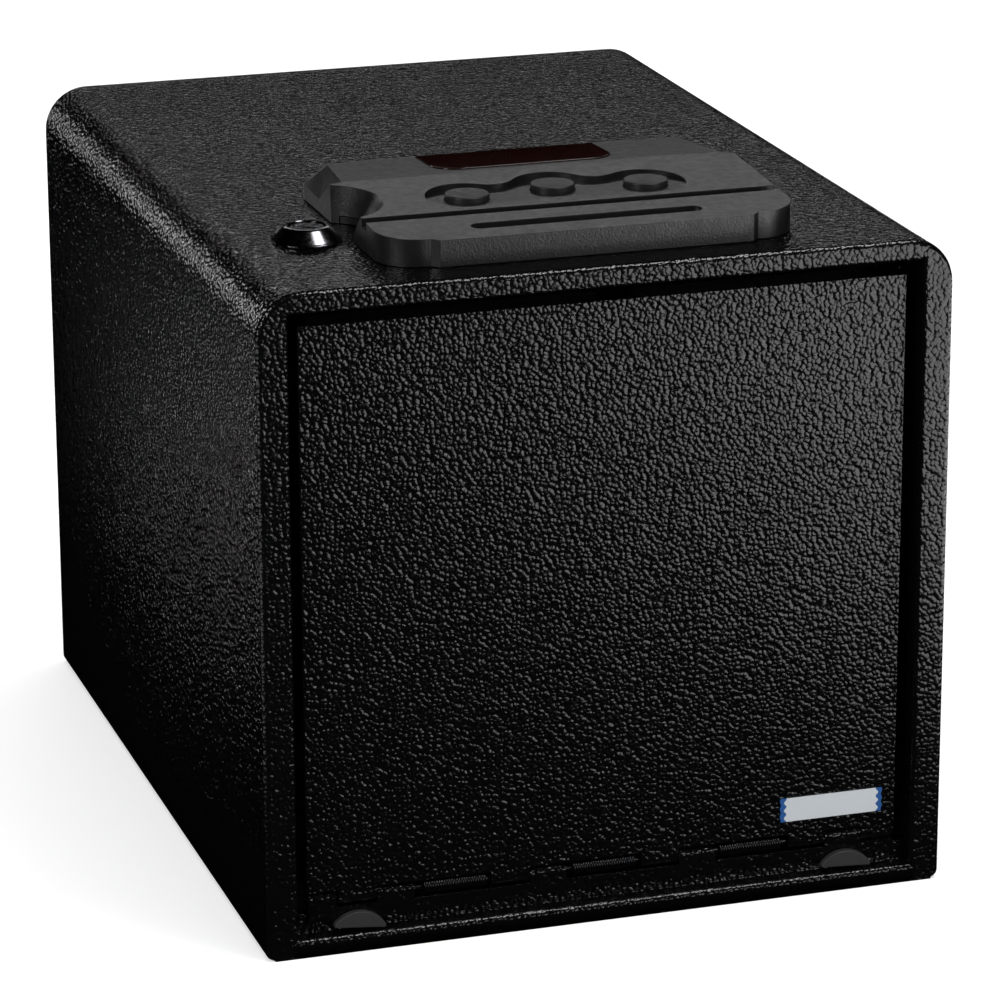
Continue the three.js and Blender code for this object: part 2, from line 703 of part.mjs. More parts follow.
// The room inside the housing seen from above, narrower where the back corners are bevelled.
function roomOutline(inset) {
  const side = CONSOLE.half - WALL - inset;
  const rear = side - 5.6;
  const front = COVER_BACK + GAP + WALL;
  const back = CONSOLE.back - 2 * WALL - inset;
  return polygon([
    [-side, front], [side, front], [side, 80], [rear, 86], [rear, back],
    [-rear, back], [-rear, 86], [-side, 80],
  ]);
}

function consoleHousing() {
  const start = COVER_BACK + GAP;
  const { half, back } = CONSOLE;
  const body = underRoof(-half - 2, half + 2, GROOVE_BACK, back + 2, HEIGHT + GAP, 0);
  const rabbet = underRoof(-half - 2, half + 2, start, GROOVE_BACK + 1, HEIGHT + GAP, 2.9);
  const solid = common(
    join(body, rabbet), prismZ(consoleOutline(0), HEIGHT, HEIGHT + 20, 12),
  );
  const room = common(
    underRoof(-half, half, start, back, HEIGHT - 1, ROOF),
    prismZ(roomOutline(0), HEIGHT - 2, HEIGHT + 20),
  );
  const roomClear = cut(room, scoop(WALL), scoopFoot(WALL, HEIGHT - 2, HEIGHT + 4));
  const side = half - WALL;
  const frontWall = [start - 1, start + WALL + 1];
  const tools = [
    roomClear,
    box(-50, 50, ...frontWall, HEIGHT - 1, HEIGHT + 6.3),
    box(-side, side, ...frontWall, HEIGHT - 1, HEIGHT + 2.85),
    scoop(0),
    scoopFoot(0, HEIGHT - 1, HEIGHT + 2.9),
    scoopBandRoom(),
    recessRoom(),
    onBackSlope(prismZ(lensOutline(GAP), -1.0, 4)),
    box(-26.5, 26.5, 92.5, 113.5, HEIGHT, HEIGHT + 20),
    ...BUTTONS.map(([x, y]) => prismZ(disc(x, y, BUTTON_RADIUS + GAP), HEIGHT, HEIGHT + 20, 16)),
    ...cornerFacets(-1),
    ...cornerFacets(1),
  ];
  return cut(solid, ...tools);
}

// Under the scoop the housing stops short, so that the base shows there as a low band.
function scoopBandRoom() {
  const [x, y, r] = SCOOP.foot;
  return common(
    prismZ(disc(x, y, r + 6), HEIGHT - 1, HEIGHT + 2.9, 24),
    box(-69.6, -50, y - r - 7, y + r + 7, HEIGHT - 2, HEIGHT + 4),
  );
}

function consoleBase() {
  const low = HEIGHT + GAP;
  const high = HEIGHT + 2.55;
  const side = CONSOLE.half - WALL - GAP;
  const plate = join(
    box(-side, side, 19.2, 50, low, high),
    prismZ(roomOutline(GAP), low, high),
  );
  const trayRoom = box(-49.2, 49.2, 10, 42.4, low - 1, high + 1);
  const leadHole = prismZ(disc(LEAD_HOLE.x, LEAD_HOLE.y, 3.4), low - 1, high + 1);
  const corners = [-1, 1].map((way) => {
    const points = [[80, 10], [80, 33], [side, 33], [57, 19.2], [57, 10]];
    return prismZ(polygon(points.map(([x, y]) => [way * x, y])), low - 1, high + 1);
  });
  const holes = CONSOLE_SCREWS.map(([x, y]) => prismZ(disc(x, y, 1.8), low - 1, high + 1, 6));
  return cut(
    plate, trayRoom, leadHole, scoopFoot(0, low - 1, high + 1), ...corners, ...holes,
  );
}

function batteryCover() {
  const low = HEIGHT + GAP;
  const { half, front } = CONSOLE;
  const block = underRoof(-half - 2, half + 2, front - 1, COVER_BACK, low, 0);
  const solid = common(block, prismZ(consoleOutline(0), HEIGHT, HEIGHT + 20, 12));
  const room = common(
    underRoof(-half - 2, half + 2, front - 1, COVER_BACK + 2, low - 1, 2.5),
    prismZ(consoleOutline(2), HEIGHT - 2, HEIGHT + 20, 12),
  );
  const slot = new THREE.Shape();
  const grip = { half: 37, y: 26, radius: 3.0, depth: 1.9 };
  slot.absarc(-grip.half, grip.y, grip.radius, Math.PI / 2, 1.5 * Math.PI, false);
  slot.absarc(grip.half, grip.y, grip.radius, -Math.PI / 2, Math.PI / 2, false);
  slot.closePath();
  const groove = prismZ(slot, roofTop(grip.y) - grip.depth, HEIGHT + 20, 6);
  return cut(solid, room, groove);
}

const PCB = { top: HEIGHT + 4.4, low: HEIGHT + 3.0 };

function controlBoard() {
  const plate = box(-53, 62, 47, 110, PCB.low, PCB.top);
  const switches = BUTTONS.map(
    ([x, y]) => box(x - 3, x + 3, y - 3, y + 3, PCB.top - 0.5, PCB.top + 0.5),
  );
  return join(plate, ...switches);
}

function pushButton(x, y) {
  const top = HEIGHT + 12.9;
  const foot = HEIGHT + 6.2;
  return turned([
    [0, foot], [8.5, foot], [8.5, foot + 0.7], [BUTTON_RADIUS, foot + 0.7],
    [BUTTON_RADIUS, top - 0.4], [BUTTON_RADIUS - 0.4, top], [0, top],
  ], x, y, 24);
}

function batteryTray() {
  const wall = 0.8;
  const low = HEIGHT - 4.7;
  const high = HEIGHT + 1.2;
  const { half, front, back } = TRAY;
  const cup = box(-half, half, front, back, low, high);
  const rim = box(-half - 1.7, half + 1.7, front - 0.7, back + 0.9, HEIGHT + GAP, high);
  const room = box(
    -half + wall, half - wall, front + wall, back - wall, low + wall, high + 1,
  );
  return cut(join(cup, rim), room);
}

function cell(x, y) {
  const h = HEIGHT + 1.7;
  const body = CELL.length - 1.2;
  const x0 = x - CELL.length / 2;
  const profile = [
    [0, x0], [CELL.radius, x0], [CELL.radius, x0 + body], [1.9, x0 + body],
    [1.9, x0 + CELL.length], [0, x0 + CELL.length],
  ];
  return turnedX(profile, y, h, 16);
}

add("console_base", consoleBase(), CONSOLE_PLASTIC);
add("console_housing", consoleHousing(), CONSOLE_PLASTIC);
add("battery_cover", batteryCover(), CONSOLE_PLASTIC);
add(
  "display_lens",
  onBackSlope(prismZ(lensOutline(0), -1.0 + GAP, -1.0 + GAP + LENS.thickness, 6)),
  LENS_PLASTIC,
);
add(
  "display_module",
  box(-26, 26, 93, 113, PCB.top + GAP, HEIGHT + 10),
  MODULE_BLACK,
);
add("control_board", controlBoard(), BOARD_GREEN);
BUTTONS.forEach(([x, y], i) => add(`button_${i + 1}`, pushButton(x, y), BUTTON_PLASTIC));
add("battery_tray", batteryTray(), MODULE_BLACK);
[[-22.6, 23.6], [22.6, 23.6], [-22.6, 34.8], [22.6, 34.8]].forEach(([x, y], i) => {
  add(`cell_${i + 1}`, cell(x, y), CELL_SLEEVE);
});

function consoleScrew(x, y) {
  const under = CEILING - GAP;
  return turned([
    [0, under - 2], [2.8, under - 2], [3.3, under], [1.4, under],
    [1.4, HEIGHT + 2.3], [0, HEIGHT + 2.3],
  ], x, y, 12);
}

CONSOLE_SCREWS.forEach(([x, y], i) => {
  add(`console_screw_${i + 1}`, consoleScrew(x, y), ZINC);
});

// The solenoid's lead, from the coil up through the hole in the top to the board.
function solenoidLead() {
  const way = new THREE.CatmullRomCurve3([
    new THREE.Vector3(-44, 71, 214),
    new THREE.Vector3(-38, 78, 214),
    new THREE.Vector3(-22, 88, 214),
    new THREE.Vector3(-4, 94.6, 218),
    new THREE.Vector3(0, 95, 224),
    new THREE.Vector3(0, 95, PCB.low - GAP),
  ]);
  return new THREE.ExtrudeGeometry(disc(0, 0, 1.2), {
    steps: 16,
    curveSegments: 3,
    bevelEnabled: false,
    extrudePath: way,
  });
}

add("solenoid_lead", solenoidLead(), MODULE_BLACK);

// ---- frame --------------------------------------------------------------------------

safe.position.set(0, -DEPTH / 2, 0);
const group = new THREE.Group();
group.add(safe);

export default group;
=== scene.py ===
"""Looks of the quick-access gun safe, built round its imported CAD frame. Metres, +Z up."""

import math

import bmesh
import bpy
from mathutils import Matrix, Vector


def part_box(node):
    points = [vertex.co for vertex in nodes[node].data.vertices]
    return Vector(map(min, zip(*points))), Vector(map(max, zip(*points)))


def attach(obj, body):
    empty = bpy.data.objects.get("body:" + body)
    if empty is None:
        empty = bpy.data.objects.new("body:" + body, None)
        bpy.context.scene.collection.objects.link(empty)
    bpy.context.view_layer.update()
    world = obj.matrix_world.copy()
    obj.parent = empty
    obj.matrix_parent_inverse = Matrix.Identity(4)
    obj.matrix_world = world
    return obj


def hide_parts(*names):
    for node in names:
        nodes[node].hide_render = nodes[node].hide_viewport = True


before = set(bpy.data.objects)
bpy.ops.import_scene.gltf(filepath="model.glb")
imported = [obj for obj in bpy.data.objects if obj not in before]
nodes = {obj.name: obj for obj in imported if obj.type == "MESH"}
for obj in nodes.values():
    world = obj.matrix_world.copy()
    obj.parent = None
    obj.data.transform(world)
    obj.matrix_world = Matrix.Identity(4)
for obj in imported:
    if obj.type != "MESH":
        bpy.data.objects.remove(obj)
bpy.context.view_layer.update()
scene = bpy.context.scene

MM = 0.001
LOW, HIGH = (Vector(corner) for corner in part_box("body_shell"))
FRONT = LOW.y
TOP = HIGH.z
EPS = 0.02 * MM

CAMERA_PLACE = (-0.4756, -1.5419, 0.6197)
CAMERA_TURN, CAMERA_DIP, CAMERA_ROLL = -17.5, 17.8, -0.2      # degrees
LENS_LENGTH = 168.3
SENSOR_WIDTH = 36

LABEL_WAVE = 2.8 * MM          # from one wave of the label's ends to the next
LABEL_WAVE_DEPTH = 0.4 * MM
LABEL_BORDER = 1.9 * MM


# ---- camera, floor and light ---------------------------------------------------------

def set_camera():
    data = bpy.data.cameras.new("camera")
    data.sensor_width = SENSOR_WIDTH
    data.lens = LENS_LENGTH
    data.clip_end = 20
    camera = bpy.data.objects.new("camera", data)
    scene.collection.objects.link(camera)
    turn = Matrix.Rotation(math.radians(CAMERA_TURN), 4, "Z")
    tilt = Matrix.Rotation(math.radians(90 - CAMERA_DIP), 4, "X")
    roll = Matrix.Rotation(math.radians(CAMERA_ROLL), 4, "Z")
    camera.matrix_world = Matrix.Translation(CAMERA_PLACE) @ turn @ tilt @ roll
    scene.camera = camera


def softbox(name, place, aim, width, height, power):
    """A rectangular light that faces aim and that the camera does not see."""
    data = bpy.data.lights.new(name, "AREA")
    data.shape = "RECTANGLE"
    data.size, data.size_y = width, height
    data.energy = power
    light = bpy.data.objects.new(name, data)
    scene.collection.objects.link(light)
    light.visible_camera = False
    way = Vector(aim) - Vector(place)
    light.matrix_world = Matrix.Translation(place) @ way.to_track_quat("-Z", "Y").to_matrix().to_4x4()


def floor_card(name, x, y, width, height, power):
    """A light lying on the floor and facing up, for upright faces to mirror."""
    softbox(name, (x, y, 0.01), (x, y, 1.0), width, height, power)


def set_stage():
    """White floor and white surroundings that the gloss does not mirror; lights that it does."""
    world = scene.world or bpy.data.worlds.new("studio")
    scene.world = world
    world.use_nodes = True
    background = world.node_tree.nodes["Background"]
    background.inputs["Color"].default_value = (1, 1, 1, 1)
    background.inputs["Strength"].default_value = 1.08
    world.cycles_visibility.glossy = False

    bpy.ops.mesh.primitive_plane_add(size=12, location=(0, 0, 0))
    floor = bpy.context.object
    floor.name = "studio_floor"
    white = bpy.data.materials.new("floor_white")
    white.use_nodes = True
    sockets = white.node_tree.nodes["Principled BSDF"].inputs
    sockets["Base Color"].default_value = (0.75, 0.75, 0.75, 1)
    sockets["Roughness"].default_value = 0.9
    sockets["Emission Color"].default_value = (1, 1, 1, 1)
    sockets["Emission Strength"].default_value = 0.3
    floor.data.materials.append(white)
    floor.visible_glossy = False
    scene.view_settings.view_transform = "Standard"

    floor_card("card", 0.70, -0.80, 0.9, 1.02, 8.4)
    floor_card("card_right", 0.62, -0.20, 0.5, 0.3, 1.2)
    floor_card("card_left", -0.55, -0.25, 0.4, 0.4, 0.7)
    softbox("key", (0.80, -1.25, 0.20), (0.02, -0.15, 0.12), 0.75, 0.3, 2.5)
    softbox("overhead", (0.36, -0.42, 1.18), (0.0, -0.15, 0.2), 0.6, 0.35, 6)
    softbox("side_low", (-0.26, 0.25, 0.09), (-0.12, -0.12, 0.19), 0.12, 0.10, 0.0035)
    softbox("side_spark", (-0.355, 0.235, 0.045), (-0.12, -0.13, 0.12), 0.08, 0.05, 0.05)
    softbox("left", (-0.74, 1.05, 0.33), (-0.12, 0.0, 0.17), 0.5, 0.28, 1.5)
    softbox("left_fill", (-0.9, -0.5, 0.6), (-0.1, -0.1, 0.2), 0.3, 0.3, 3)
    softbox("back", (0.34, 1.25, 0.83), (0, 0.0, 0.23), 1.4, 0.16, 1.6)
    floor_card("card_behind", 0.45, 0.85, 0.9, 0.6, 4)
    floor_card("card_far_right", 0.75, 0.35, 0.6, 0.7, 3)


# ---- materials -----------------------------------------------------------------------

class Shader:
    """A Principled material with short ways to add procedural nodes."""

    def __init__(self, name, colour, roughness, metallic=0.0, specular=0.5):
        self.material = bpy.data.materials.new(name)
        self.material.use_nodes = True
        self.tree = self.material.node_tree
        self.base = self.tree.nodes["Principled BSDF"]
        self.base.inputs["Base Color"].default_value = (*colour, 1)
        self.base.inputs["Roughness"].default_value = roughness
        self.base.inputs["Metallic"].default_value = metallic
        self.base.inputs["Specular IOR Level"].default_value = specular
        self.where = self.tree.nodes.new("ShaderNodeTexCoord").outputs["Object"]
        self.bumps = None

    def node(self, kind, **values):
        made = self.tree.nodes.new(kind)
        for key, value in values.items():
            setattr(made, key, value)
        return made

    def link(self, source, target):
        self.tree.links.new(source, target)

    def noise(self, size, detail=2.0, roughness=0.5, where=None):
        made = self.node("ShaderNodeTexNoise")
        made.inputs["Scale"].default_value = 1 / size
        made.inputs["Detail"].default_value = detail
        made.inputs["Roughness"].default_value = roughness
        self.link(where or self.where, made.inputs["Vector"])
        return made.outputs["Fac"]

    def warped(self, size, amount):
        """Coordinates pushed about by a soft noise."""
        made = self.node("ShaderNodeTexNoise")
        made.inputs["Scale"].default_value = 1 / size
        self.link(self.where, made.inputs["Vector"])
        centre = self.node("ShaderNodeVectorMath", operation="SUBTRACT")
        self.link(made.outputs["Color"], centre.inputs[0])
        centre.inputs[1].default_value = (0.5, 0.5, 0.5)
        scaled = self.node("ShaderNodeVectorMath", operation="SCALE")
        self.link(centre.outputs[0], scaled.inputs[0])
        scaled.inputs["Scale"].default_value = amount
        total = self.node("ShaderNodeVectorMath", operation="ADD")
        self.link(self.where, total.inputs[0])
        self.link(scaled.outputs[0], total.inputs[1])
        return total.outputs[0]

    def pebbles(self, size, smooth, where=None):
        made = self.node("ShaderNodeTexVoronoi", feature="SMOOTH_F1")
        made.inputs["Scale"].default_value = 1 / size
        made.inputs["Smoothness"].default_value = smooth
        self.link(where or self.where, made.inputs["Vector"])
        return made.outputs["Distance"]

    def domes(self, where, size, dimensions):
        """Rounded bumps packed close, with narrow creases between them."""
        cells = self.node("ShaderNodeTexVoronoi", feature="SMOOTH_F1",
                          voronoi_dimensions=dimensions)
        cells.inputs["Scale"].default_value = 1 / size
        cells.inputs["Smoothness"].default_value = 0.35
        self.link(where, cells.inputs["Vector"])
        square = self.node("ShaderNodeMath", operation="MULTIPLY")
        self.link(cells.outputs["Distance"], square.inputs[0])
        self.link(cells.outputs["Distance"], square.inputs[1])
        return self.remap(square.outputs[0], 0.0, 0.6, 1.0, 0.0)

    def front_grain(self, axes, size, wander):
        """Bumps of uneven shape, laid out across X and Z."""
        flat = self.node("ShaderNodeCombineXYZ")
        self.link(axes["X"], flat.inputs["X"])
        self.link(axes["Z"], flat.inputs["Y"])
        shift = self.node("ShaderNodeTexNoise")
        shift.inputs["Scale"].default_value = 1 / (1.3 * size)
        self.link(flat.outputs[0], shift.inputs["Vector"])
        scaled = self.node("ShaderNodeVectorMath", operation="SCALE")
        self.link(shift.outputs["Color"], scaled.inputs[0])
        scaled.inputs["Scale"].default_value = wander
        flow = self.node("ShaderNodeVectorMath", operation="ADD")
        self.link(flat.outputs[0], flow.inputs[0])
        self.link(scaled.outputs[0], flow.inputs[1])
        crown = self.domes(flow.outputs[0], size, "2D")
        return self.blend(0.5, crown, self.noise(size * 1.5, 1.0))

    def blend(self, factor, first, second):
        """Mixes two values by a number or by another value."""
        made = self.node("ShaderNodeMix", data_type="FLOAT")
        if isinstance(factor, float):
            made.inputs[0].default_value = factor
        else:
            self.link(factor, made.inputs[0])
        self.link(first, made.inputs[2])
        self.link(second, made.inputs[3])
        return made.outputs[0]

    def maths(self, operation, value, by=None):
        made = self.node("ShaderNodeMath", operation=operation)
        self.link(value, made.inputs[0])
        if by is not None:
            made.inputs[1].default_value = by
        return made.outputs[0]

    def scaled(self, value, by):
        return self.maths("MULTIPLY", value, by)

    def axes(self):
        split = self.node("ShaderNodeSeparateXYZ")
        self.link(self.where, split.inputs[0])
        return split.outputs

    def remap(self, value, low, high, out_low=0.0, out_high=1.0):
        made = self.node("ShaderNodeMapRange")
        made.inputs["From Min"].default_value = low
        made.inputs["From Max"].default_value = high
        made.inputs["To Min"].default_value = out_low
        made.inputs["To Max"].default_value = out_high
        self.link(value, made.inputs["Value"])
        return made.outputs["Result"]

    def mix(self, factor, first, second, target):
        made = self.node("ShaderNodeMix", data_type="RGBA")
        self.link(factor, made.inputs["Factor"])
        made.inputs[6].default_value = (*first, 1)
        made.inputs[7].default_value = (*second, 1)
        self.link(made.outputs[2], self.base.inputs[target])

    def bump(self, height, depth):
        made = self.node("ShaderNodeBump")
        made.inputs["Distance"].default_value = depth
        made.inputs["Strength"].default_value = 1.0
        self.link(height, made.inputs["Height"])
        if self.bumps is not None:
            self.link(self.bumps, made.inputs["Normal"])
        self.bumps = made.outputs["Normal"]
        self.link(self.bumps, self.base.inputs["Normal"])

    def roughen(self, value, low, high, out_low, out_high):
        self.link(self.remap(value, low, high, out_low, out_high), self.base.inputs["Roughness"])


def powder_coat(name, depth=0.36 * MM, turn=None, gloss=0.17):
    """Thick glossy black coat that dried into leathery bumps, finer behind the front.

    turn is the Y where the coarse front grain has given way to the fine one."""
    s = Shader(name, (0.0012, 0.0012, 0.0013), gloss)
    height = s.scaled(s.domes(s.where, 1.6 * MM, "3D"), 0.85)
    if turn is not None:
        axes = s.axes()
        behind = s.remap(axes["Y"], turn - 1.0 * MM, turn)
        height = s.blend(behind, s.front_grain(axes, 1.55 * MM, 1.1 * MM), height)
    s.bump(height, depth)
    s.bump(s.noise(0.6 * MM, 2.0), 0.02 * MM)
    s.roughen(s.noise(6 * MM, 3.0), 0.3, 0.7, gloss - 0.02, gloss + 0.05)
    return s.material


def moulded_plastic(name, colour, roughness, grain, specular=0.5):
    s = Shader(name, colour, roughness, specular=specular)
    s.bump(s.noise(0.7 * MM, 2.0, 0.6), grain)
    s.roughen(s.noise(3 * MM, 3.0), 0.3, 0.7, roughness - 0.05, roughness + 0.07)
    s.mix(s.noise(0.6 * MM, 2.0), [c * 0.85 for c in colour], [c * 1.2 for c in colour],
          "Base Color")
    return s.material


def tinted_window(name):
    s = Shader(name, (0.007, 0.0018, 0.0013), 0.09)
    s.roughen(s.noise(8 * MM, 2.0), 0.3, 0.7, 0.08, 0.11)
    return s.material


def plated(name, colour, roughness, wear=0.08):
    s = Shader(name, colour, roughness, metallic=1.0)
    s.roughen(s.noise(1.2 * MM, 4.0), 0.3, 0.7, roughness - wear / 2, roughness + wear)
    s.bump(s.noise(0.5 * MM, 3.0), 0.006 * MM)
    return s.material


def foam_skin(name):
    s = Shader(name, (0.012, 0.012, 0.012), 0.95, specular=0.2)
    s.bump(s.pebbles(1.1 * MM, 0.2, s.warped(2 * MM, 0.8 * MM)), 0.25 * MM)
    s.base.inputs["Sheen Weight"].default_value = 0.15
    return s.material


def label_film(name):
    """Pale film whose two ends are printed with a wavy blue border."""
    s = Shader(name, (0.6, 0.62, 0.64), 0.32)
    low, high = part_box("door_label")
    middle, half = (low.x + high.x) / 2, (high.x - low.x) / 2
    axes = s.axes()
    wave = s.maths("SINE", s.scaled(axes["Z"], 2 * math.pi / LABEL_WAVE))
    away = s.maths("ABSOLUTE", s.maths("SUBTRACT", axes["X"], middle))
    shifted = s.node("ShaderNodeMath", operation="MULTIPLY_ADD")
    s.link(wave, shifted.inputs[0])
    shifted.inputs[1].default_value = 0.45 * MM
    s.link(away, shifted.inputs[2])
    edge = half - LABEL_BORDER
    s.mix(s.remap(shifted.outputs[0], edge - 0.1 * MM, edge + 0.1 * MM),
          (0.34, 0.36, 0.38), (0.004, 0.05, 0.18), "Base Color")
    s.bump(s.noise(2.5 * MM, 2.0), 0.03 * MM)
    return s.material


def board_green(name):
    s = Shader(name, (0.01, 0.06, 0.03), 0.4)
    lines = s.node("ShaderNodeTexBrick")
    s.link(s.where, lines.inputs["Vector"])
    lines.inputs["Scale"].default_value = 160
    lines.inputs["Color1"].default_value = (0.01, 0.06, 0.03, 1)
    lines.inputs["Color2"].default_value = (0.012, 0.075, 0.036, 1)
    lines.inputs["Mortar"].default_value = (0.03, 0.16, 0.08, 1)
    lines.inputs["Mortar Size"].default_value = 0.03
    s.link(lines.outputs["Color"], s.base.inputs["Base Color"])
    return s.material


def winding(name):
    s = Shader(name, (0.42, 0.17, 0.05), 0.35, metallic=0.6)
    wave = s.maths("SINE", s.scaled(s.axes()["X"], 2 * math.pi / (0.55 * MM)))
    s.bump(wave, 0.06 * MM)
    return s.material


COAT = powder_coat("powder_coat", turn=FRONT + 1.8 * MM)
DOOR_COAT = powder_coat("door_coat", 0.46 * MM, turn=FRONT + 8 * MM)
HINGE_COAT = powder_coat("hinge_coat", 0.2 * MM)
INNER = powder_coat("inner_coat", 0.2 * MM, gloss=0.6)
PLASTIC = moulded_plastic("console_plastic", (0.005, 0.005, 0.0053), 0.34, 0.11 * MM, 0.7)
BUTTON = moulded_plastic("button_plastic", (0.008, 0.008, 0.0085), 0.42, 0.03 * MM)
BLACK_PLASTIC = moulded_plastic("black_plastic", (0.012, 0.012, 0.013), 0.4, 0.01 * MM)
RUBBER = moulded_plastic("pad_rubber", (0.016, 0.016, 0.0165), 0.6, 0.03 * MM)
LENS = tinted_window("lens_red")
NICKEL = plated("black_nickel", (0.16, 0.16, 0.17), 0.16, 0.05)
ZINC = plated("zinc_plate", (0.55, 0.55, 0.57), 0.32)
STEEL = plated("spring_steel", (0.08, 0.08, 0.085), 0.3)
FOAM = foam_skin("foam")
LABEL = label_film("label_film")
BOARD = board_green("circuit_board")
COIL = winding("coil_winding")
SLEEVE = moulded_plastic("cell_sleeve", (0.03, 0.11, 0.24), 0.3, 0.004 * MM)


# ---- making pieces -------------------------------------------------------------------

def publish(piece, body, material, slot, *stands_for):
    piece.data.materials.clear()
    piece.data.materials.append(material)
    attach(piece, body)
    if stands_for:
        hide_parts(*stands_for)
    return piece


def new_object(name, mesh):
    piece = bpy.data.objects.new(name, mesh)
    scene.collection.objects.link(piece)
    return piece


def copy_of(node):
    """The node's mesh with its flat areas whole again, ready for edges to be rounded."""
    bm = bmesh.new()
    bm.from_mesh(nodes[node].data)
    bmesh.ops.remove_doubles(bm, verts=bm.verts, dist=2e-6)
    bmesh.ops.dissolve_limit(
        bm, angle_limit=math.radians(0.4), verts=bm.verts, edges=bm.edges,
        use_dissolve_boundaries=False)
    return bm


def round_edges(bm, wanted, width, segments=3, least_angle=25, clamp=True):
    """Rounds the sharp edges that wanted(middle, direction) picks."""
    bm.normal_update()
    picked = []
    for edge in bm.edges:
        if len(edge.link_faces) != 2 or edge.calc_face_angle(0) < math.radians(least_angle):
            continue
        a, b = (v.co for v in edge.verts)
        if wanted((a + b) / 2, (b - a).normalized()):
            picked.append(edge)
    bmesh.ops.bevel(
        bm, geom=picked, offset=width, offset_type="OFFSET", segments=segments, profile=0.5,
        affect="EDGES", clamp_overlap=clamp, miter_outer="SHARP", miter_inner="SHARP")


def finish_mesh(bm, name, smooth_angle=40):
    mesh = bpy.data.meshes.new(name)
    bm.normal_update()
    bm.to_mesh(mesh)
    bm.free()
    piece = new_object(name, mesh)
    for polygon in mesh.polygons:
        polygon.use_smooth = True
    mesh.set_sharp_from_angle(angle=math.radians(smooth_angle))
    weigh = piece.modifiers.new("weigh", "WEIGHTED_NORMAL")
    weigh.keep_sharp = True
    return piece


def everywhere(middle, way):
    return True


def rounded_copy(node, name, body, material, slot, width=0.3 * MM, segments=2, rule=everywhere):
    bm = copy_of(node)
    round_edges(bm, rule, width, segments)
    return publish(finish_mesh(bm, name), body, material, slot, node)


def lathe(name, profile, place, axis="Z", segments=96):
    """A round piece from (radius, height) pairs; a profile that ends off the axis is closed."""
    bm = bmesh.new()
    rings = []
    for radius, height in profile:
        if radius < 1e-7:
            rings.append([bm.verts.new((0, 0, height))])
            continue
        rings.append([
            bm.verts.new((radius * math.cos(2 * math.pi * i / segments),
                          radius * math.sin(2 * math.pi * i / segments), height))
            for i in range(segments)])
    pairs = list(zip(rings, rings[1:]))
    if len(rings[0]) > 1 and len(rings[-1]) > 1:
        pairs.append((rings[-1], rings[0]))
    for low, high in pairs:
        for i in range(segments):
            j = (i + 1) % segments
            if len(low) == 1:
                bm.faces.new((low[0], high[j], high[i]))
            elif len(high) == 1:
                bm.faces.new((low[i], low[j], high[0]))
            else:
                bm.faces.new((low[i], low[j], high[j], high[i]))
    bmesh.ops.recalc_face_normals(bm, faces=bm.faces)
    if axis == "X":
        bmesh.ops.rotate(bm, verts=bm.verts, matrix=Matrix.Rotation(math.pi / 2, 3, "Y"))
    if axis == "Y":
        bmesh.ops.rotate(bm, verts=bm.verts, matrix=Matrix.Rotation(-math.pi / 2, 3, "X"))
    bmesh.ops.translate(bm, verts=bm.verts, vec=Vector(place))
    return finish_mesh(bm, name, 35)


def arc_points(centre, radius, start, end, count):
    """Profile points on a quarter or other arc, angles in degrees."""
    points = []
    for i in range(count + 1):
        angle = math.radians(start + (end - start) * i / count)
        points.append((centre[0] + radius * math.cos(angle), centre[1] + radius * math.sin(angle)))
    return points


def middle_of(node):
    low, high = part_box(node)
    return (low + high) / 2


# ---- box -----------------------------------------------------------------------------

MOUTH_HALF = 109 * MM          # the door opening's half width and top
MOUTH_TOP = 221.5 * MM
MOUTH_ROUND = 1.6 * MM         # how far the opening's edge is rounded
SILL_HALF = 108.7 * MM
BACK = HIGH.y


def build_shell():
    bm = copy_of("body_shell")

    def front(middle):
        return abs(middle.y - FRONT) < EPS

    def mouth(middle, way):
        inside = abs(middle.x) < MOUTH_HALF + EPS and middle.z < MOUTH_TOP + EPS
        return front(middle) and inside

    def rim(middle, way):
        outside = abs(middle.x) > MOUTH_HALF + 5 * MM or middle.z > MOUTH_TOP + 3 * MM
        return front(middle) and outside and middle.z > EPS

    def rear(middle, way):
        return abs(middle.y - BACK) < EPS and (abs(middle.x) > 119 * MM or middle.z > TOP - 17 * MM)

    round_edges(bm, rim, 2.0 * MM, 5, clamp=False)
    round_edges(bm, mouth, MOUTH_ROUND, 4, clamp=False)
    round_edges(bm, rear, 0.6 * MM, 2, clamp=False)
    publish(finish_mesh(bm, "box_shell"), "safe", COAT, "powder_coat", "body_shell")


def build_tray():
    """The sill runs into the frame's uprights, where the real one is welded and coated over."""
    bm = copy_of("base_tray")
    for vert in bm.verts:
        if abs(abs(vert.co.x) - SILL_HALF) < EPS and vert.co.y < FRONT + 7 * MM:
            vert.co.x = math.copysign(MOUTH_HALF + MOUTH_ROUND, vert.co.x)

    def sill(middle, way):
        return abs(way.x) > 0.9 and middle.y < FRONT + EPS and middle.z > 3 * MM

    def flange(middle, way):
        return abs(way.x) > 0.9 and middle.z > 5.5 * MM and middle.y > FRONT + EPS

    round_edges(bm, sill, MOUTH_ROUND, 4)
    round_edges(bm, flange, 0.5 * MM, 2)
    publish(finish_mesh(bm, "floor_tray"), "safe", COAT, "powder_coat", "base_tray")


def build_back():
    rounded_copy("back_panel", "rear_panel", "safe", COAT, "powder_coat", 0.25 * MM, 2)
    for i in range(1, 5):
        rounded_copy(f"hole_plug_{i}", f"bolt_hole_plug_{i}", "safe", RUBBER, "rubber", 0.25 * MM, 2)


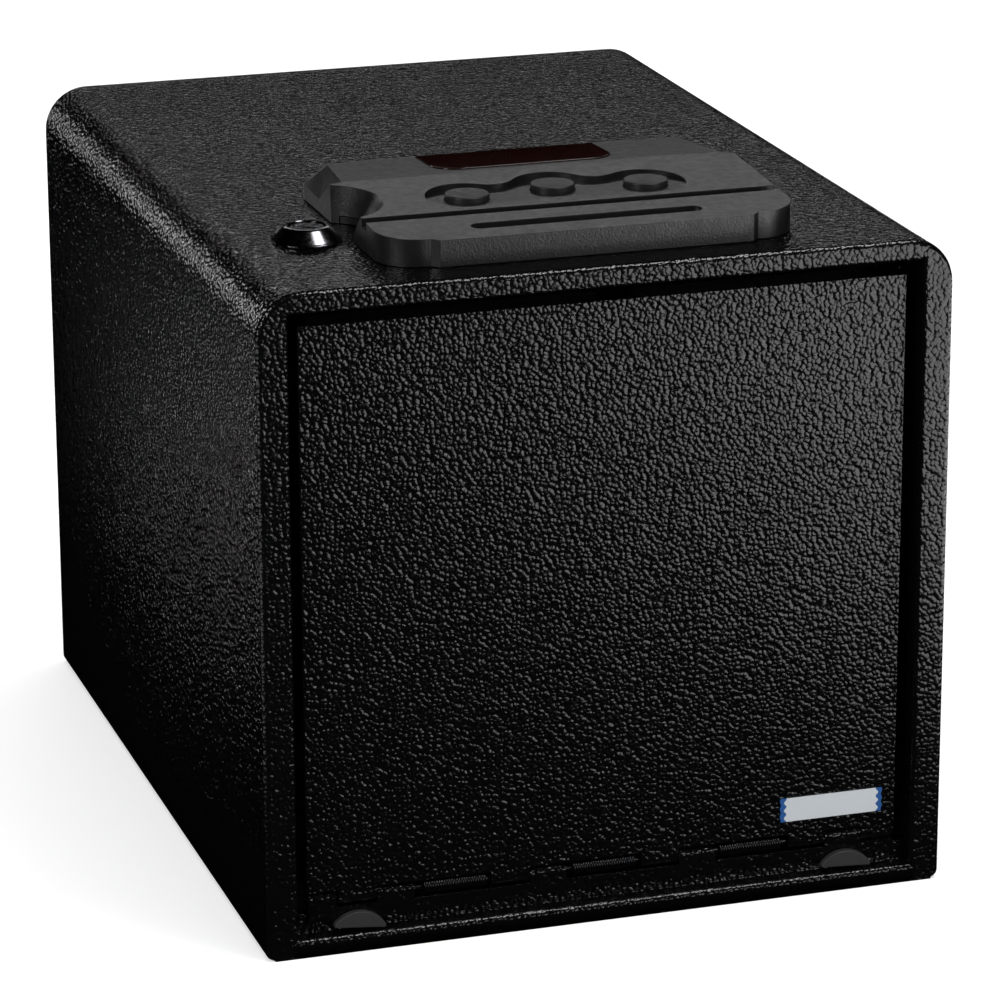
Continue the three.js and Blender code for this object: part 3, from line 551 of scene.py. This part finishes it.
def build_mat():
    """Foam pad with soft edges and a very slightly uneven top."""
    low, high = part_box("floor_mat")
    bm = bmesh.new()
    bmesh.ops.create_cube(bm, size=1)
    size, centre = high - low, (low + high) / 2
    bmesh.ops.scale(bm, verts=bm.verts, vec=size)
    bmesh.ops.translate(bm, verts=bm.verts, vec=centre)
    round_edges(bm, lambda m, w: m.z > centre.z or abs(w.z) > 0.9, 2.0 * MM, 4)
    bmesh.ops.triangulate(bm, faces=bm.faces)
    for _ in range(4):
        long_edges = [e for e in bm.edges if e.calc_length() > 9 * MM]
        bmesh.ops.subdivide_edges(bm, edges=long_edges, cuts=1)
        bmesh.ops.triangulate(bm, faces=[f for f in bm.faces if len(f.verts) > 3])
    for vert in bm.verts:
        if vert.co.z > high.z - EPS:
            swell = math.sin(vert.co.x * 61) * math.sin(vert.co.y * 47 + 1)
            vert.co.z -= 0.25 * MM * (1 + swell)
    mat = publish(finish_mesh(bm, "foam_mat", 60), "safe", FOAM, "foam", "floor_mat")


# ---- hinge ---------------------------------------------------------------------------

def build_hinge():
    rounded_copy("hinge_strip", "hinge_leaf", "safe", HINGE_COAT, "powder_coat", 0.35 * MM, 3)
    low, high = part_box("hinge_pin")
    pin = middle_of("hinge_pin")
    radius = (high.z - low.z) / 2
    profile = [(0, low.x), (radius * 0.8, low.x), (radius, low.x + 0.3 * MM),
               (radius, high.x - 0.3 * MM), (radius * 0.8, high.x), (0, high.x)]
    rod = lathe("hinge_rod", profile, (0, pin.y, pin.z), "X", 32)
    publish(rod, "safe", STEEL, "steel", "hinge_pin")
    for i in range(1, 4):
        build_spring(f"hinge_spring_{i}", f"door_spring_{i}", 0.42 * MM, 0.88 * MM)


def build_spring(node, name, wire, pitch):
    """Close-wound round wire, its coils standing side by side along X."""
    low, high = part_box(node)
    centre = (low + high) / 2
    mean = (high.z - low.z) / 2 - wire
    length = high.x - low.x - 2 * wire
    turns = length / pitch
    steps = int(turns * 22)
    sides = 8
    bm = bmesh.new()
    rings = []
    for i in range(steps + 1):
        angle = 2 * math.pi * turns * i / steps
        out = Vector((0, math.cos(angle), math.sin(angle)))
        spine = Vector((low.x + wire + length * i / steps, centre.y, centre.z)) + out * mean
        along = Vector((1, 0, 0))
        rings.append([
            bm.verts.new(spine + wire * (math.cos(2 * math.pi * k / sides) * out
                                         + math.sin(2 * math.pi * k / sides) * along))
            for k in range(sides)])
    for a, b in zip(rings, rings[1:]):
        for k in range(sides):
            m = (k + 1) % sides
            bm.faces.new((a[k], a[m], b[m], b[k]))
    bm.faces.new(rings[0])
    bm.faces.new(rings[-1])
    bmesh.ops.recalc_face_normals(bm, faces=bm.faces)
    publish(finish_mesh(bm, name, 50), "safe", STEEL, "steel", node)


def build_pads():
    for side in ("left", "right"):
        rounded_copy(f"door_pad_{side}", f"stop_pad_{side}", "safe", RUBBER, "rubber", 0.5 * MM, 3)


# ---- door ----------------------------------------------------------------------------

def build_door():
    bm = copy_of("door_panel")
    low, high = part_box("door_panel")

    def outer(middle, way):
        face = abs(middle.y - low.y) < EPS
        return face and (abs(middle.x) > high.x - EPS or middle.z > high.z - EPS)

    def corner(middle, way):
        return abs(way.y) > 0.9 and middle.z > high.z - EPS and abs(middle.x) > high.x - EPS

    def foot(middle, way):
        return middle.z < 24 * MM

    round_edges(bm, lambda m, w: outer(m, w) or corner(m, w), 2.6 * MM, 6)
    round_edges(bm, foot, 0.35 * MM, 2)
    publish(finish_mesh(bm, "door_skin"), "door", DOOR_COAT, "powder_coat", "door_panel")
    rounded_copy("door_liner", "door_lining", "door", INNER, "inner_coat", 0.4 * MM, 2)
    rounded_copy("door_striker", "striker_plate", "door", ZINC, "zinc_plate", 0.3 * MM, 2)
    for i in (1, 2):
        rounded_copy(f"striker_screw_{i}", f"striker_fixing_{i}", "door", ZINC, "zinc_plate", 0.2 * MM)
    build_label()


def build_label():
    """A thin sticker whose two ends are cut in small waves."""
    low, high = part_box("door_label")
    middle, half = (low.x + high.x) / 2, (high.x - low.x) / 2
    steps = 36
    end = []
    for i in range(steps + 1):
        z = low.z + (high.z - low.z) * i / steps
        end.append((half - LABEL_WAVE_DEPTH * (1 - math.cos(2 * math.pi * z / LABEL_WAVE)) / 2, z))
    outline = [(middle + x, z) for x, z in end] + [(middle - x, z) for x, z in reversed(end)]
    bm = bmesh.new()
    front = [bm.verts.new((x, low.y, z)) for x, z in outline]
    back = [bm.verts.new((x, high.y, z)) for x, z in outline]
    bm.faces.new(front)
    bm.faces.new(back)
    for i in range(len(front)):
        j = (i + 1) % len(front)
        bm.faces.new((front[i], front[j], back[j], back[i]))
    bmesh.ops.recalc_face_normals(bm, faces=bm.faces)
    publish(finish_mesh(bm, "serial_sticker"), "door", LABEL, "label", "door_label")


# ---- latch ---------------------------------------------------------------------------

def build_latch():
    rounded_copy("latch_housing", "latch_cover", "safe", INNER, "inner_coat", 0.4 * MM, 2)
    rounded_copy("bolt_slide", "bolt_plate", "bolt", ZINC, "zinc_plate", 0.25 * MM)
    rounded_copy("bolt_guide", "bolt_guide_block", "safe", ZINC, "zinc_plate", 0.4 * MM)
    rounded_copy("solenoid_frame", "solenoid_yoke", "safe", ZINC, "zinc_plate", 0.3 * MM)
    rounded_copy("solenoid_coil", "solenoid_winding", "safe", COIL, "coil_winding", 0.3 * MM)
    rounded_copy("solenoid_plunger", "plunger", "bolt", STEEL, "steel", 0.4 * MM)
    rounded_copy("solenoid_lead", "coil_lead", "safe", BLACK_PLASTIC, "black_plastic", 0.1 * MM, 1)
    build_spring("bolt_spring", "bolt_coil", 0.5 * MM, 1.9 * MM)
    for i in range(1, 5):
        rounded_copy(f"housing_screw_{i}", f"cover_screw_{i}", "safe", ZINC, "zinc_plate", 0.2 * MM)


# ---- key lock ------------------------------------------------------------------------

def build_lock():
    low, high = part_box("lock_bezel")
    centre = middle_of("lock_bezel")
    foot, crown = low.z, high.z
    outer = (high.x - low.x) / 2
    profile = [(outer - 0.7 * MM, foot)]
    profile += [(outer - 0.15 * MM, foot), (outer, foot + 0.2 * MM), (outer, foot + 0.6 * MM)]
    profile += [(outer - 0.25 * MM, foot + 0.85 * MM), (outer - 0.6 * MM, foot + 1.0 * MM)]
    profile += [(7.9 * MM, crown - 0.5 * MM), (7.55 * MM, crown - 0.15 * MM), (7.1 * MM, crown)]
    profile += [(6.5 * MM, crown), (6.3 * MM, crown - 0.2 * MM), (6.3 * MM, foot + 1.3 * MM)]
    profile += [(outer - 0.95 * MM, foot + 1.3 * MM)]
    ring = lathe("lock_rose", profile, (centre.x, centre.y, 0))
    publish(ring, "safe", NICKEL, "black_nickel", "lock_bezel")
    rounded_copy("lock_body", "lock_barrel", "safe", ZINC, "zinc_plate", 0.25 * MM)
    rounded_copy("lock_nut", "lock_hex_nut", "safe", ZINC, "zinc_plate", 0.4 * MM)
    rounded_copy("lock_plug", "key_cylinder", "key_plug", NICKEL, "black_nickel", 0.25 * MM)
    rounded_copy("lock_cam", "crank_cam", "key_plug", ZINC, "zinc_plate", 0.25 * MM)


# ---- console -------------------------------------------------------------------------

def build_console():
    rounded_copy("console_housing", "keypad_housing", "safe", PLASTIC, "console_plastic", 0.4 * MM, 3)
    rounded_copy("battery_cover", "battery_lid", "cover", PLASTIC, "console_plastic", 0.5 * MM, 3)
    rounded_copy("console_base", "keypad_base", "safe", PLASTIC, "console_plastic", 0.3 * MM)
    rounded_copy("display_lens", "window_lens", "safe", LENS, "lens_plastic", 0.3 * MM, 3)
    rounded_copy("display_module", "display_block", "safe", BLACK_PLASTIC, "black_plastic", 0.3 * MM)
    rounded_copy("control_board", "keypad_board", "safe", BOARD, "circuit_board", 0.1 * MM, 1)
    rounded_copy("battery_tray", "cell_tray", "safe", BLACK_PLASTIC, "black_plastic", 0.2 * MM)
    for i in range(1, 5):
        rounded_copy(f"cell_{i}", f"aaa_cell_{i}", "safe", SLEEVE, "cell_sleeve", 0.4 * MM)
        rounded_copy(f"console_screw_{i}", f"keypad_screw_{i}", "safe", ZINC, "zinc_plate", 0.15 * MM)
    for i in range(1, 4):
        build_button(i)


def build_button(i):
    """A cap with a softly rounded rim and a faint hollow for the fingertip."""
    low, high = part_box(f"button_{i}")
    centre = middle_of(f"button_{i}")
    flange = (high.x - low.x) / 2
    cap = flange - 1.0 * MM
    crown = high.z
    rim = 0.5 * MM
    profile = [(0, low.z), (flange, low.z), (flange, low.z + 0.7 * MM), (cap, low.z + 0.7 * MM)]
    profile += arc_points((cap - rim, crown - rim), rim, 0, 90, 6)
    profile += [(cap * 0.75, crown - 0.03 * MM), (cap * 0.45, crown - 0.16 * MM),
                (cap * 0.2, crown - 0.24 * MM), (0, crown - 0.26 * MM)]
    button = lathe(f"keypad_button_{i}", profile, (centre.x, centre.y, 0))
    publish(button, f"button_{i}", BUTTON, "button_plastic", f"button_{i}")


# ---- put together --------------------------------------------------------------------

set_camera()
set_stage()
build_shell()
build_tray()
build_back()
build_mat()
build_hinge()
build_pads()
build_door()
build_latch()
build_lock()
build_console()
